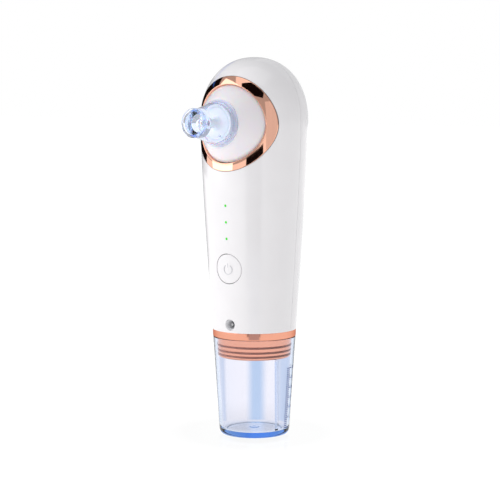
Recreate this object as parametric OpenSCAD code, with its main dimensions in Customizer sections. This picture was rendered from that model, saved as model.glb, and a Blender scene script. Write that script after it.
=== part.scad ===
// Blackhead vacuum extractor: a tapered, domed handle with a suction nozzle on
// its front, standing on a clear water tank that it plugs into.
// Z is up, the front faces -Y, and the origin is the centre of the tank's foot.

/* [Tank] */
// Height of the tank, from its foot to its rim
tank_h = 49; // [48.6:0.1:49.1]
// Outer radius of the tank at its foot, before the edge is rounded
tank_foot_r = 17.35; // [17:0.05:17.5]
// Outer radius of the tank at its rim
tank_rim_r = 20.6; // [20.5:0.05:20.8]
// Thickness of the tank's wall
tank_wall = 1.5; // [1.4:0.05:1.6]
// Thickness of the tank's floor
tank_floor = 2.6; // [2:0.1:3.2]
// Radius of the rounded edge round the foot
foot_round = 3; // [2:0.1:4]
// Distance of the divider from the tank's axis
divider_off = 11.5; // [10.5:0.1:12.2]
// Direction that the divider faces, turned from the front towards the right
divider_turn = 120; // [0:5:355]

/* [Housing] */
// Height of the top of the dome above the floor
top_z = 187.2; // [186.4:0.2:188.4]
// Height of the housing's lower edge
housing_z = 52.8; // [52.6:0.1:52.9]
// Largest radius of the housing, at the shoulder
shoulder_r = 26.5; // [26.2:0.1:28]
// Height of the shoulder, where the taper becomes the dome
shoulder_z = 156; // [155:0.5:158]
// How fast the side tapers below the shoulder
side_taper = 0.0712; // [0.066:0.0002:0.073]
// How softly the taper bends into the shoulder
side_bend = 2; // [1.6:0.1:2.4]
// Squareness of the dome: 2 is an ellipse
dome_power = 2.15; // [2.1:0.05:2.3]
// Thickness of the housing's wall
shell_wall = 1.8; // [1.6:0.1:2]
// How far behind the axis the two shells part
parting_y = 1.2; // [0.8:0.1:1.6]

/* [Head] */
// Height at which the head's axis leaves the handle's axis
head_z = 154.3; // [154:0.1:155]
// Upward tilt of the head's axis, in degrees
head_tilt = 2; // [1:0.5:3]
// Outer radius of the head ring
ring_r = 23; // [22.8:0.1:23.4]
// Inner radius of the head ring
ring_bore_r = 19.1; // [19:0.05:19.4]
// Radius of the cover's rim
cover_r = 18.75; // [18.5:0.05:18.8]
// Distance from the handle's axis to the top of the cover
cover_top_d = 30; // [29:0.25:30]
// Radius of the cover's flat top
cover_top_r = 11.6; // [11.5:0.05:12]
// Radius of the nozzle's foot
nozzle_foot_r = 11.4; // [11:0.05:11.4]
// Radius of the flange round the nozzle's mouth
nozzle_lip_r = 7.05; // [6.9:0.05:7.4]
// Distance from the handle's axis to the nozzle's mouth
nozzle_d = 51; // [50.5:0.25:52]

/* [Controls] */
// Height of the power button's centre
button_z = 84.5; // [82:0.5:86]
// Radius of the power button
button_r = 7.2; // [6.8:0.1:7.3]
// How far the power button travels
button_travel = 0.6; // [0.3:0.1:0.6]
// Height of the lowest indicator lens
lens_z = 99.3; // [98:0.1:101]
// Distance from one indicator lens to the next
lens_pitch = 8.1; // [7.5:0.1:8.5]
// Radius of an indicator lens
lens_r = 0.5; // [0.4:0.05:0.7]
// Height of the charging socket's centre
socket_z = 56.7; // [56.7:0.1:57]
// Radius of the charging socket's bore
socket_r = 2.2; // [1.9:0.1:2.3]

/* [Hidden] */
$fn = 64;
eps = 0.01;
gap = 0.3;
tank_gap = 0.15;
plug_z0 = 39;

// ---- outlines that several pieces share ----

// Radius of the housing at height z below the shoulder
function side_r(z) = shoulder_r + side_bend
    - sqrt(pow(side_taper * (shoulder_z - z), 2) + side_bend * side_bend);

// Outline of the housing grown outwards by g, cut off below at z0
function housing_outline(g, z0, sides = 8, dome = 14) = concat(
    [[0, z0]],
    [for (i = [0 : sides - 1])
        let (z = z0 + (shoulder_z - z0) * i / sides) [side_r(z) + g, z]],
    [for (i = [0 : dome])
        let (a = 90 * i / dome, p = 2 / dome_power)
            [(shoulder_r + g) * pow(max(cos(a), 0), p),
             shoulder_z + (top_z - shoulder_z + g) * pow(sin(a), p)]]);

module housing_form(g, z0 = housing_z) {
    rotate_extrude() polygon(housing_outline(g, z0));
}

// Outer radius of the tank at height z
tank_slope = (tank_rim_r - tank_foot_r) / tank_h;
tank_draft = atan(tank_slope);
function tank_r(z) = tank_foot_r + tank_slope * z;

// Outline of a tank-shaped solid: wall offset g inwards, from z0 to z1, edge radius e
function tank_outline(g, z0, z1, e) =
    let (cx = tank_r(z0 + e) - g - e / cos(tank_draft))
    concat([[0, z0]],
        [for (i = [0 : 8])
            let (a = -90 + (90 - tank_draft) * i / 8) [cx + e * cos(a), z0 + e + e * sin(a)]],
        [[tank_r(z1) - g, z1], [0, z1]]);

module turned(points) {
    rotate_extrude() polygon(points);
}

module tube(r, bore, h) {
    difference() {
        cylinder(r = r, h = h);
        translate([0, 0, -eps]) cylinder(r = bore, h = h + 2 * eps);
    }
}

// Corner cutting: each pass replaces a bend by two gentler ones
function rounded_once(p) = concat([p[0]],
    [for (i = [0 : len(p) - 2]) each [0.75 * p[i] + 0.25 * p[i + 1],
                                      0.25 * p[i] + 0.75 * p[i + 1]]],
    [p[len(p) - 1]]);
function rounded(p, passes) = passes == 0 ? p : rounded(rounded_once(p), passes - 1);

function unit(v) = v / norm(v);
function along(p, i) = unit(p[min(i + 1, len(p) - 1)] - p[max(i - 1, 0)]);

// Side directions along a route, each turned as little as possible from the last
function sides_of(p, i, u) = i == len(p) ? [] :
    let (t = along(p, i), v = unit(u - (u * t) * t)) concat([v], sides_of(p, i + 1, v));

// A flexible pipe along the given route, as one closed sweep with its bore
module pipe(route, r, bore, n = 8) {
    p = rounded(route, 2);
    last = len(p) - 1;
    u = sides_of(p, 0, [1, 0.01, 0]);
    ring = function(i, rad) [for (k = [0 : n - 1])
        let (a = 360 * k / n) p[i] + rad * (cos(a) * u[i] + sin(a) * cross(along(p, i), u[i]))];
    points = concat([for (i = [0 : last]) each ring(i, r)],
        [for (i = [0 : last]) each ring(i, bore)]);
    inner = (last + 1) * n;
    skin = [for (i = [0 : last - 1], k = [0 : n - 1])
        let (a = i * n + k, b = i * n + (k + 1) % n)
        each [[a, b, b + n], [a, b + n, a + n],
              [inner + a, inner + b + n, inner + b], [inner + a, inner + a + n, inner + b + n]]];
    ends = [for (k = [0 : n - 1])
        let (a = k, b = (k + 1) % n, c = last * n + k, d = last * n + (k + 1) % n)
        each [[a, inner + b, b], [a, inner + a, inner + b],
              [c, d, inner + d], [c, inner + d, inner + c]]];
    polyhedron(points, [for (f = concat(skin, ends)) [f[2], f[1], f[0]]]);
}

// Local Z runs outwards along the head's axis, local Y runs up
module at_head() {
    translate([0, 0, head_z]) rotate([90 - head_tilt, 0, 0]) children();
}

// Local Z runs outwards through the front at height z
module at_front(z) {
    translate([0, 0, z]) rotate([90, 0, 0]) children();
}

// ---- tank ----

tank_inner_z1 = tank_h + 1;

module tank_cavity_form(shrink = 0) {
    turned(tank_outline(tank_wall + shrink, tank_floor, tank_inner_z1, 1.4));
}

module tank_cup() {
    color([0.80, 0.87, 0.97, 0.45]) difference() {
        turned(tank_outline(0, 0, tank_h, foot_round));
        tank_cavity_form();
    }
}

divider_t = 1.2;
divider_top = plug_z0 - 0.8;
divider_slot_h = 1.6;

module tank_divider() {
    color([0.75, 0.84, 0.96, 0.45]) difference() {
        intersection() {
            rotate([0, 0, divider_turn - 90])
                translate([divider_off - divider_t / 2, -18, tank_floor])
                    cube([divider_t, 36, divider_top - tank_floor]);
            tank_cavity_form(0.02);
        }
        // slot at the floor, through which water is drawn
        rotate([0, 0, divider_turn - 90])
            translate([divider_off - divider_t, -4, tank_floor - eps])
                cube([2 * divider_t, 8, divider_slot_h]);
    }
}

// ---- plug that fits the tank's mouth, with its seals and collar ----

plug_z1 = 53.5;
pipe_seat_z = 51.6;
plug_clear = 0.35;
seal_z = [45.2, 42.7, 40.6];
seal_h = 0.9;
groove_depth = 0.8;
function plug_r(z) = tank_r(z) - tank_wall - plug_clear;
drawn_pipe_at = [14.2 * sin(divider_turn), -14.2 * cos(divider_turn)];
waste_pipe_at = [-9, 5];
air_pipe_at = [-3, 11];
pipe_r = 1.9;
pipe_bore = 1.1;

module plug_bores(r) {
    for (p = [drawn_pipe_at, waste_pipe_at, air_pipe_at])
        translate([p[0], p[1], plug_z0 - 1]) cylinder(r = r, h = plug_z1 - plug_z0 + 2);
}

module tank_plug() {
    neck_r = side_r(housing_z) - shell_wall - 0.05;
    step_z = tank_h + tank_gap;
    color([0.90, 0.66, 0.56]) difference() {
        union() {
            turned([[0, plug_z0], [plug_r(plug_z0) - 0.5, plug_z0],
                [plug_r(plug_z0), plug_z0 + 0.5], [plug_r(step_z), step_z], [0, step_z]]);
            translate([0, 0, step_z - eps]) cylinder(r = neck_r, h = plug_z1 - step_z + eps);
        }
        for (z = seal_z) translate([0, 0, z - seal_h / 2])
            tube(plug_r(z) + 1, plug_r(z) - groove_depth, seal_h);
        plug_bores(pipe_bore);
        translate([0, 0, pipe_seat_z])
            for (p = [drawn_pipe_at, waste_pipe_at, air_pipe_at])
                translate([p[0], p[1], 0]) cylinder(r = pipe_r, h = 4);
    }
}

// A seal ring that fills groove k and almost reaches the tank's wall
module plug_seal(k) {
    z = seal_z[k];
    bore = plug_r(z) - groove_depth;
    rim = tank_r(z - seal_h / 2) - tank_wall - 0.06;
    color([0.25, 0.13, 0.10]) turned([[bore, z - seal_h / 2], [rim - 0.3, z - seal_h / 2],
        [rim, z - 0.15], [rim, z + 0.15], [rim - 0.3, z + seal_h / 2], [bore, z + seal_h / 2]]);
}

module upper_seal() { plug_seal(0); }
module middle_seal() { plug_seal(1); }
module lower_seal() { plug_seal(2); }

module collar_ring() {
    z0 = tank_h + tank_gap;
    bore = side_r(housing_z) - shell_wall;
    rim = side_r(housing_z) - 0.05;
    color([0.93, 0.65, 0.54]) turned([[bore, z0], [rim - 0.35, z0], [rim - 0.1, z0 + 0.3],
        [rim, housing_z], [bore, housing_z]]);
}

// ---- housing shells ----

lap = 1.3;
lap_t = shell_wall / 2;
boss_x = 17.2;
boss_zs = [72, 128];
boss_r = 2.2;
chassis_y = [-3, -1.2];
button_hole_r = button_r + 0.32;
guide_r = button_hole_r + 1.2;
button_back = side_r(button_z) - 3.2;
lens_zs = [for (i = [0 : 2]) lens_z + i * lens_pitch];

module shell_blank() {
    difference() {
        housing_form(0);
        housing_form(-shell_wall, housing_z - 1);
    }
}

module front_half(y) {
    intersection() {
        children();
        translate([-40, -60, 0]) cube([80, 60 + y, 240]);
    }
}

module front_shell() {
    color("white") difference() {
        union() {
            front_half(parting_y) shell_blank();
            // guide and stop behind the power button
            intersection() {
                at_front(button_z) translate([0, 0, button_back - 2.6])
                    cylinder(r = guide_r, h = 10);
                housing_form(-shell_wall / 2);
            }
            // screw bosses
            for (z = boss_zs, s = [-1, 1]) intersection() {
                translate([s * boss_x, 0, z]) rotate([90, 0, 0])
                    translate([0, 0, -chassis_y[0]]) cylinder(r = boss_r, h = 24);
                housing_form(-shell_wall / 2);
            }
        }
        at_head() translate([0, 0, 4]) cylinder(r = ring_r + 0.05, h = 40);
        at_front(button_z) {
            translate([0, 0, button_back - button_travel - 0.15])
                cylinder(r = button_hole_r, h = 12);
            translate([0, 0, 5]) cylinder(r = 4.6, h = 30);
        }
        for (z = lens_zs) at_front(z) translate([0, 0, 10]) cylinder(r = lens_r + 0.02, h = 30);
        at_front(socket_z) translate([0, 0, 10]) cylinder(r = socket_face_r, h = 30);
        for (z = boss_zs, s = [-1, 1]) translate([s * boss_x, 0, z])
            rotate([90, 0, 0]) cylinder(r = screw_r + 0.02, h = 11.5);
        // rebate that takes the rear shell's tongue
        difference() {
            housing_form(-lap_t + 0.05, housing_z - 1);
            translate([-40, -60, 0]) cube([80, 60 + parting_y - lap, 240]);
        }
    }
}

module rear_shell() {
    color("white") union() {
        difference() {
            shell_blank();
            translate([-40, -60, 0]) cube([80, 60 + parting_y, 240]);
        }
        // tongue that laps inside the front shell
        intersection() {
            difference() {
                housing_form(-lap_t);
                housing_form(-shell_wall, housing_z - 1);
            }
            translate([-40, parting_y - lap + 0.1, 0]) cube([80, lap + 0.5, 240]);
        }
    }
}

// ---- head ----

ring_proud = 0.25;
ring_t = 2;
ring_step_r = 21.1;
ring_step = 0.35;

// The band follows the domed housing, and its inner half lies a step deeper
module head_ring() {
    color([0.90, 0.65, 0.55]) intersection() {
        at_head() translate([0, 0, 8]) tube(ring_r, ring_bore_r, 30);
        difference() {
            housing_form(ring_proud);
            housing_form(-ring_t);
            at_head() difference() {
                cylinder(r = ring_step_r, h = 40);
                at_head_inverse() housing_form(-ring_step);
            }
        }
    }
}

// Undoes at_head, for a housing form used inside it
module at_head_inverse() {
    rotate([head_tilt - 90, 0, 0]) translate([0, 0, -head_z]) children();
}

bowl_d0 = 8.2;
bowl_floor = 1.6;
bowl_socket_r = 4.6;
spigot_r = 3;
water_port_x = 6.8;

// Cup fixed behind the ring, which the cover's skirt slides into
module head_bowl() {
    color("gainsboro") difference() {
        intersection() {
            at_head() translate([0, 0, bowl_d0]) cylinder(r = ring_r - 1.5, h = 30);
            housing_form(-ring_t - 0.05);
        }
        at_head() {
            translate([0, 0, bowl_d0 + bowl_floor]) difference() {
                cylinder(r = ring_bore_r, h = 30);
                cylinder(r = bowl_socket_r, h = 5);
            }
            translate([0, 0, bowl_d0 - 1]) cylinder(r = spigot_r + 0.08, h = 20);
            translate([water_port_x, 0, bowl_d0 - 1]) cylinder(r = pipe_bore, h = 4);
        }
    }
}

cover_d0 = bowl_d0 + bowl_floor + 1.2;
cover_wall = 1.6;
cover_rim_drop = 1.7;

// Convex form between the saddle-shaped rim and the flat top, shrunk by s
module cover_form(s, back) {
    hull() {
        intersection() {
            at_head() translate([0, 0, 10]) cylinder(r = cover_r - s, h = 20, $fn = 48);
            difference() {
                rotate_extrude($fn = 48)
                    polygon(housing_outline(-cover_rim_drop - s, 120, 4, 8));
                rotate_extrude($fn = 48)
                    polygon(housing_outline(-cover_rim_drop - s - 0.6, 119, 4, 8));
            }
            translate([-30, -60, 100]) cube([60, 60, 100]);
        }
        at_head() translate([0, 0, back])
            cylinder(r = cover_top_r - s, h = cover_top_d - s - back, $fn = 48);
    }
}

module head_cover() {
    color([0.95, 0.92, 0.94, 0.75]) difference() {
        union() {
            cover_form(0, 24);
            intersection() {
                at_head() translate([0, 0, cover_d0])
                    cylinder(r = cover_r - 0.1, h = 16);
                housing_form(-cover_rim_drop - 0.1);
            }
        }
        cover_form(cover_wall, 24);
        intersection() {
            at_head() translate([0, 0, cover_d0 - 1])
                cylinder(r = cover_r - cover_wall - 0.15, h = 16);
            housing_form(-cover_rim_drop - cover_wall);
        }
        at_head() cylinder(r = seat_neck_r, h = 40);
    }
}

module cover_seal() {
    color([0.85, 0.86, 0.88]) at_head() translate([0, 0, bowl_d0 + 1.4])
        tube(spigot_r, seat_tail_r, 1.6);
}

seat_neck_r = 6.5;
seat_flange_r = 8.4;
seat_tail_r = 2.2;
seat_top_d = 33.4;
stem_r = 1.75;
stem_bore = 1;
stem_top_d = 43.2;
stem_tail_d = 8.6;
seat_flange_d = cover_top_d + 0.02;

// Fixed in the cover: the nozzle pushes onto its flange, its tail plugs into the bowl
module nozzle_seat() {
    color([0.88, 0.91, 0.96, 0.8]) at_head() turned([
        [stem_bore, stem_tail_d], [seat_tail_r, stem_tail_d],
        [seat_tail_r, cover_top_d - 5], [seat_neck_r - 0.05, cover_top_d - 3.5],
        [seat_neck_r - 0.05, seat_flange_d], [seat_flange_r, seat_flange_d],
        [seat_flange_r, seat_top_d - 1.6], [seat_flange_r - 0.9, seat_top_d - 1.6],
        [seat_flange_r - 0.9, seat_top_d], [3.2, seat_top_d], [stem_r + 0.3, seat_top_d + 1],
        [stem_r, stem_top_d], [stem_bore, stem_top_d]]);
}

nozzle_base_d = cover_top_d + 0.3;
nozzle_bore_r = 8.95;

module nozzle_seal() {
    color([0.90, 0.93, 0.97]) at_head() translate([0, 0, seat_top_d - 1.58])
        tube(nozzle_bore_r - 0.08, seat_flange_r - 0.88, 1.5);
}

nozzle_wall = 1.1;
nozzle_tip_r = 6.2;
nozzle_tip_d = nozzle_d - 1.6;
cup_r = 5.5;
cup_floor_d = nozzle_d - 4.8;
mouth_bore_r = 1.75;
bleed_r = 0.5;
bleed_turn = -42;
bleed_d = 38.5;

module nozzle() {
    color([0.85, 0.92, 1, 0.5]) at_head() difference() {
        turned([
            [nozzle_bore_r, nozzle_base_d], [nozzle_foot_r, nozzle_base_d],
            [nozzle_foot_r, nozzle_base_d + 1], [nozzle_foot_r - 0.9, nozzle_base_d + 2],
            [10.2, nozzle_base_d + 3.7], [nozzle_tip_r, nozzle_tip_d],
            [nozzle_lip_r - 0.2, nozzle_tip_d], [nozzle_lip_r, nozzle_tip_d + 0.2],
            [nozzle_lip_r, nozzle_d - 0.3], [nozzle_lip_r - 0.3, nozzle_d],
            [cup_r, nozzle_d], [4.9, nozzle_d - 1.5], [3.5, cup_floor_d],
            [mouth_bore_r, cup_floor_d], [mouth_bore_r, cup_floor_d - 1.2],
            [6, cup_floor_d - 1.2], [nozzle_bore_r, nozzle_base_d + 4]]);
        rotate([0, 0, bleed_turn]) translate([0, 0, bleed_d])
            rotate([0, 90, 0]) translate([0, 0, 6]) cylinder(r = bleed_r, h = 6);
    }
}

// ---- frame inside the handle ----

chassis_zs = [66, 119, 148];
screw_r = 1;
chassis_half_w = 19.2;
chassis_top = 150;

module chassis() {
    plate_y = chassis_y[0];
    plate_t = chassis_y[1] - chassis_y[0];
    color("lightgray") difference() {
        union() {
            intersection() {
                translate([-chassis_half_w, plate_y, 60])
                    cube([2 * chassis_half_w, plate_t, chassis_top - 60]);
                housing_form(-shell_wall - 0.4);
            }
            // rear half ribs
            for (z = chassis_zs) intersection() {
                translate([-30, plate_y, z]) cube([60, 40, 1.6]);
                housing_form(-shell_wall - lap_t - 0.1);
            }
        }
        // room for the battery, the motor and the pipes
        translate([0, battery_y, 50]) cylinder(r = battery_r + 0.15, h = 68);
        translate([0, motor_y, 118]) cylinder(r = motor_r + 0.15, h = 60);
        for (p = pipe_ways) translate([p[0], p[1], 50]) cylinder(r = pipe_r + 0.3, h = 120);
        for (z = boss_zs, s = [-1, 1]) translate([s * boss_x, 0, z])
            rotate([90, 0, 0]) cylinder(r = screw_r + 0.02, h = 8, center = true);
        // the head bowl passes in front, so its pipe comes through here
        at_head() cylinder(r = pipe_r + 1, h = 20, center = true);
    }
}

module frame_screws() {
    color("silver") for (z = boss_zs, s = [-1, 1])
        translate([s * boss_x, chassis_y[1], z]) rotate([90, 0, 0]) {
            cylinder(r = screw_r, h = 9.8);
            translate([0, 0, -1.2]) difference() {
                cylinder(r = 1.8, h = 1.2);
                for (t = [0, 90]) rotate([0, 0, t])
                    translate([-1.2, -0.2, -eps]) cube([2.4, 0.4, 0.6]);
            }
        }
}

// ---- controls on the front ----

module power_button() {
    color([0.97, 0.97, 0.98]) difference() {
        union() {
            intersection() {
                at_front(button_z) translate([0, 0, button_back])
                    cylinder(r = button_r, h = 12);
                housing_form(-0.05);
            }
            at_front(button_z) translate([0, 0, switch_front + button_travel + 0.1])
                cylinder(r = 1.2, h = button_back - switch_front - button_travel);
        }
        // engraved power mark: an open ring and a stroke
        at_front(button_z) translate([0, 0, side_r(button_z) - 0.45]) {
            difference() {
                tube(2.6, 2.15, 4);
                translate([-0.7, 1, -1]) cube([1.4, 3, 6]);
            }
            translate([-0.22, 0.9, 0]) cube([0.44, 2.3, 4]);
        }
    }
}

module button_pad() {
    color([0.3, 0.32, 0.35]) at_front(button_z)
        translate([0, 0, button_back - 0.5]) tube(3.9, 1.3, 0.5);
}

board_y0 = -15.6;
board_t = 1.2;
board_z0 = 62;
board_z1 = 121;
switch_front = 18.7;

module circuit_board() {
    color("darkgreen") difference() {
        translate([-10, board_y0, board_z0]) cube([20, board_t, board_z1 - board_z0]);
        for (s = [-1, 1]) translate([s * 8, 0, board_z0 + 3])
            rotate([90, 0, 0]) cylinder(r = 1.1, h = 30);
    }
}

module button_switch() {
    color([0.2, 0.2, 0.22]) {
        translate([-3, board_y0 - 2.4, button_z - 3]) cube([6, 2.4, 6]);
        at_front(button_z) translate([0, 0, -board_y0 + 2.3])
            cylinder(r = 1.4, h = switch_front + board_y0 - 2.3);
    }
}

module indicator_leds() {
    color([0.6, 1, 0.5]) for (z = lens_zs)
        translate([-0.8, board_y0 - 0.8, z - 0.5]) cube([1.6, 0.8, 1]);
}

module indicator_lenses() {
    color([0.35, 0.85, 0.3]) for (z = lens_zs) intersection() {
        at_front(z) translate([0, 0, -board_y0 + 0.9]) cylinder(r = lens_r, h = 12);
        housing_form(0.05);
    }
}

socket_face_r = 2.8;
socket_depth = 9.5;

module charging_socket() {
    face = side_r(socket_z) - 0.5;
    color([0.55, 0.55, 0.57]) difference() {
        union() {
            at_front(socket_z) translate([0, 0, face - 2.6])
                cylinder(r = socket_face_r - 0.03, h = 2.6);
            translate([-4.4, -face + 2, socket_z - 3.05]) cube([8.8, socket_depth - 2, 6.1]);
        }
        at_front(socket_z) translate([0, 0, face - 8]) cylinder(r = socket_r, h = 10);
        // soft dish round the bore
        at_front(socket_z) translate([0, 0, face - 0.6])
            cylinder(r1 = socket_r, r2 = socket_face_r - 0.5, h = 0.62);
    }
}

module socket_pin() {
    face = side_r(socket_z) - 0.5;
    color("silver") at_front(socket_z) translate([0, 0, face - 8])
        cylinder(r = 0.65, h = 6.5);
}

// ---- power ----

battery_r = 7.1;
battery_y = 8.6;
battery_z0 = 67.8;
battery_h = 49;

module battery() {
    color([0.35, 0.55, 0.75]) translate([0, battery_y, battery_z0]) {
        cylinder(r = battery_r, h = battery_h);
        translate([0, 0, battery_h - eps]) cylinder(r = 2.6, h = 1);
    }
}

module battery_strap() {
    color([0.2, 0.2, 0.22]) translate([0, battery_y, 88]) difference() {
        intersection() {
            cylinder(r = battery_r + 1.1, h = 8);
            translate([-10, -battery_y + chassis_y[1], 0]) cube([20, 30, 8]);
        }
        translate([0, 0, -1]) cylinder(r = battery_r + 0.02, h = 10);
    }
}

// ---- motor and pump ----

motor_r = 10.2;
motor_y = 9.6;
motor_z0 = 122;
motor_z1 = 149;
shaft_r = 1;
crank = 0.8;

module at_motor(z) {
    translate([0, motor_y, z]) children();
}

module motor_can() {
    color("silver") difference() {
        at_motor(motor_z0) cylinder(r = motor_r, h = motor_z1 - motor_z0);
        at_motor(motor_z0 + 1.5) cylinder(r = 9.4, h = motor_z1 - motor_z0 - 3);
        at_motor(motor_z1 - 2) cylinder(r = 3, h = 4);
        at_motor(motor_z0 - 1) cylinder(r = shaft_r + 0.05, h = 3);
    }
}

module motor_magnets() {
    color([0.25, 0.25, 0.27]) for (a = [15, 195]) at_motor(motor_z0 + 4)
        rotate([0, 0, a]) rotate_extrude(angle = 150)
            translate([8.1, 0]) square([1.28, 19]);
}

module motor_bush() {
    color("goldenrod") at_motor(motor_z1 - 2.4) tube(2.98, shaft_r + 0.05, 3);
}

module motor_shaft() {
    color("gray") at_motor(motor_z0 + 0.3) cylinder(r = shaft_r, h = 38);
}

module armature() {
    color([0.72, 0.45, 0.2]) at_motor(motor_z0 + 5) difference() {
        cylinder(r = 7.5, h = 17);
        translate([0, 0, -1]) cylinder(r = shaft_r, h = 19);
        for (a = [0, 120, 240]) rotate([0, 0, a]) translate([5.4, -0.6, -1]) cube([4, 1.2, 19]);
    }
}

pump_z0 = 150.8;
pump_h = 15;
pump_half_w = 9.5;
pump_back = 4;
crank_z = 155;

module eccentric() {
    color([0.85, 0.85, 0.8]) at_motor(crank_z) difference() {
        translate([crank, 0, 0]) cylinder(r = 3, h = 3);
        translate([0, 0, -1]) cylinder(r = shaft_r, h = 5);
    }
}

// Ring round the eccentric, with an arm to the diaphragm
module connecting_rod() {
    color([0.9, 0.9, 0.85]) at_motor(crank_z) difference() {
        union() {
            cylinder(r = 5.2, h = 3);
            translate([-1.4, 0, 0]) cube([2.8, 7, 3]);
        }
        translate([0, 0, -1]) cylinder(r = 3 + crank + gap, h = 5);
    }
}

module pump_housing() {
    y0 = motor_y - 6.5;
    color([0.85, 0.85, 0.85]) difference() {
        translate([-pump_half_w, y0, pump_z0]) cube([2 * pump_half_w, 13.3, pump_h]);
        translate([-6.2, y0 + 0.9, pump_z0 + 1.6]) cube([12.4, 12, pump_h - 3.2]);
        translate([-6.2, y0 + 8, pump_z0 + 1.6]) cube([12.4, 12, pump_h - 3.2]);
        at_motor(pump_z0 - 1) cylinder(r = shaft_r + 0.5, h = 4);
    }
}

module pump_diaphragm() {
    color([0.15, 0.15, 0.16]) translate([0, motor_y + 7, crank_z + 1.5])
        rotate([-90, 0, 0]) difference() {
            cylinder(r = 6, h = 0.8);
            translate([0, 0, 0.4]) tube(5, 3.4, 1);
        }
}

module valve_plate() {
    y0 = motor_y + 7.8;
    color([0.8, 0.82, 0.85]) difference() {
        translate([-7.5, y0, pump_z0 + 0.4]) cube([15, 2.4, 12]);
        translate([0, y0 - eps, crank_z + 1.5]) rotate([-90, 0, 0]) cylinder(r = 5, h = 1);
        // inlet port in the side, outlet port in the back
        translate([-8, port_y, port_z]) rotate([0, 90, 0]) cylinder(r = 0.5, h = 5);
        translate([3.4, y0 - 1, port_z]) rotate([-90, 0, 0]) cylinder(r = 0.7, h = 5);
    }
}

// ---- filter and pipes ----

filter_at = [-14.6, 6.5, 132];
filter_r = 3.2;
filter_nipple_r = 0.98;

module inline_filter() {
    color([0.9, 0.93, 0.98]) translate(filter_at) difference() {
        union() {
            cylinder(r = filter_r, h = 9);
            translate([0, 0, -3]) cylinder(r = filter_nipple_r, h = 15);
        }
        translate([0, 0, -4]) cylinder(r = 0.6, h = 17);
    }
}

head_pipe_z = head_z + 0.4;
pipe_ways = [[15.3, 6.4], [-12.4, 0.9], [-14.6, 6.5]];

port_z = crank_z + 3.1;
port_y = motor_y + 9.3;

module water_pipe() {
    way = pipe_ways[0];
    from = drawn_pipe_at;
    color([0.9, 0.9, 0.95, 0.6]) pipe([
        [from[0], from[1], pipe_seat_z + 0.02], [from[0], from[1], 56], [way[0], way[1], 60],
        [way[0], way[1], 64], [way[0], way[1], 147], [way[0], way[1], 151],
        [11.5, -1.5, 154.5], [water_port_x, -5.5, head_pipe_z],
        [water_port_x, -8, head_pipe_z]], pipe_r - 0.02, pipe_bore);
}

module waste_pipe() {
    way = pipe_ways[1];
    from = waste_pipe_at;
    color([0.9, 0.9, 0.95, 0.6]) pipe([
        [from[0], from[1], pipe_seat_z + 0.02], [from[0], from[1], 56], [way[0], way[1], 60],
        [way[0], way[1], 64], [way[0], way[1], 147], [way[0], way[1], 151],
        [-6.5, -2.6, 154.5], [0, -5.2, head_pipe_z], [0, -8, head_pipe_z]],
        pipe_r - 0.02, pipe_bore);
}

module air_pipe() {
    way = pipe_ways[2];
    from = air_pipe_at;
    color([0.9, 0.9, 0.95, 0.6]) pipe([
        [from[0], from[1], pipe_seat_z + 0.02], [from[0], from[1], 56],
        [way[0] + 2, way[1] + 1.5, 60], [way[0], way[1], 63], [way[0], way[1], 67],
        [way[0], way[1], filter_at[2] - 0.1]], pipe_r - 0.02, pipe_bore);
}

// From the filter to the pump's inlet, in the side of the valve plate
module pump_pipe() {
    color([0.9, 0.9, 0.95, 0.6]) pipe([
        [filter_at[0], filter_at[1], filter_at[2] + 9.1],
        [filter_at[0], filter_at[1], 147], [filter_at[0], filter_at[1], 151],
        [-14.6, 10, 155], [-13.4, 16.5, port_z], [-11, port_y, port_z],
        [-7.6, port_y, port_z]], pipe_r - 0.1, pipe_bore);
}

tank_cup();
tank_divider();
tank_plug();
upper_seal();
middle_seal();
lower_seal();
collar_ring();
front_shell();
rear_shell();
head_ring();
head_bowl();
head_cover();
cover_seal();
nozzle_seat();
nozzle_seal();
nozzle();
chassis();
frame_screws();
power_button();
button_pad();
button_switch();
circuit_board();
indicator_leds();
indicator_lenses();
charging_socket();
socket_pin();
battery();
battery_strap();
motor_can();
motor_magnets();
motor_bush();
motor_shaft();
armature();
eccentric();
connecting_rod();
pump_housing();
pump_diaphragm();
valve_plate();
inline_filter();
water_pipe();
waste_pipe();
air_pipe();
pump_pipe();
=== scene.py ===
# %% [markdown]
# # A hand-held pore cleaner, made as a lesson
# The device is a white tapered handle with a domed top. A clear nozzle stands out of a
# milky cover on its front, inside a polished rose gold ring, and the whole thing stands
# on a clear water tank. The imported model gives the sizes, the places and what moves.
# This script gives every visible piece its finished shape and its material.

import math
from functools import partial

import bmesh
import bpy
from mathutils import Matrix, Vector


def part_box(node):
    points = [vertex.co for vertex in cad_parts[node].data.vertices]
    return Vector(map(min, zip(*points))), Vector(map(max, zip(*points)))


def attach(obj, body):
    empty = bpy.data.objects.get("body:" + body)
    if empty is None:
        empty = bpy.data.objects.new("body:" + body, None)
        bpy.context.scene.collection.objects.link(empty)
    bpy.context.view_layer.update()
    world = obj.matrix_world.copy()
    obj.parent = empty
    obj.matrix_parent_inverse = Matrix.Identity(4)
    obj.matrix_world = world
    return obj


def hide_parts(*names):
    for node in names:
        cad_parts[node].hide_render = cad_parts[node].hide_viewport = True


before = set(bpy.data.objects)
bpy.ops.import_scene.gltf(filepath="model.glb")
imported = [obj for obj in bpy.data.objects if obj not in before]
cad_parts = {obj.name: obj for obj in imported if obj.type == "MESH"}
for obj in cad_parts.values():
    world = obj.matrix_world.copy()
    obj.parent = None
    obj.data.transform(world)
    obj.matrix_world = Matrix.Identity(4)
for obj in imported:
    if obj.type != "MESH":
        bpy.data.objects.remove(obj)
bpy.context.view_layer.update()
print("nodes:", len(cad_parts))

# %% [markdown]
# ## Sizes
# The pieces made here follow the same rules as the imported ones, so the driving sizes
# are repeated, in metres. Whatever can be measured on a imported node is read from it.

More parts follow.
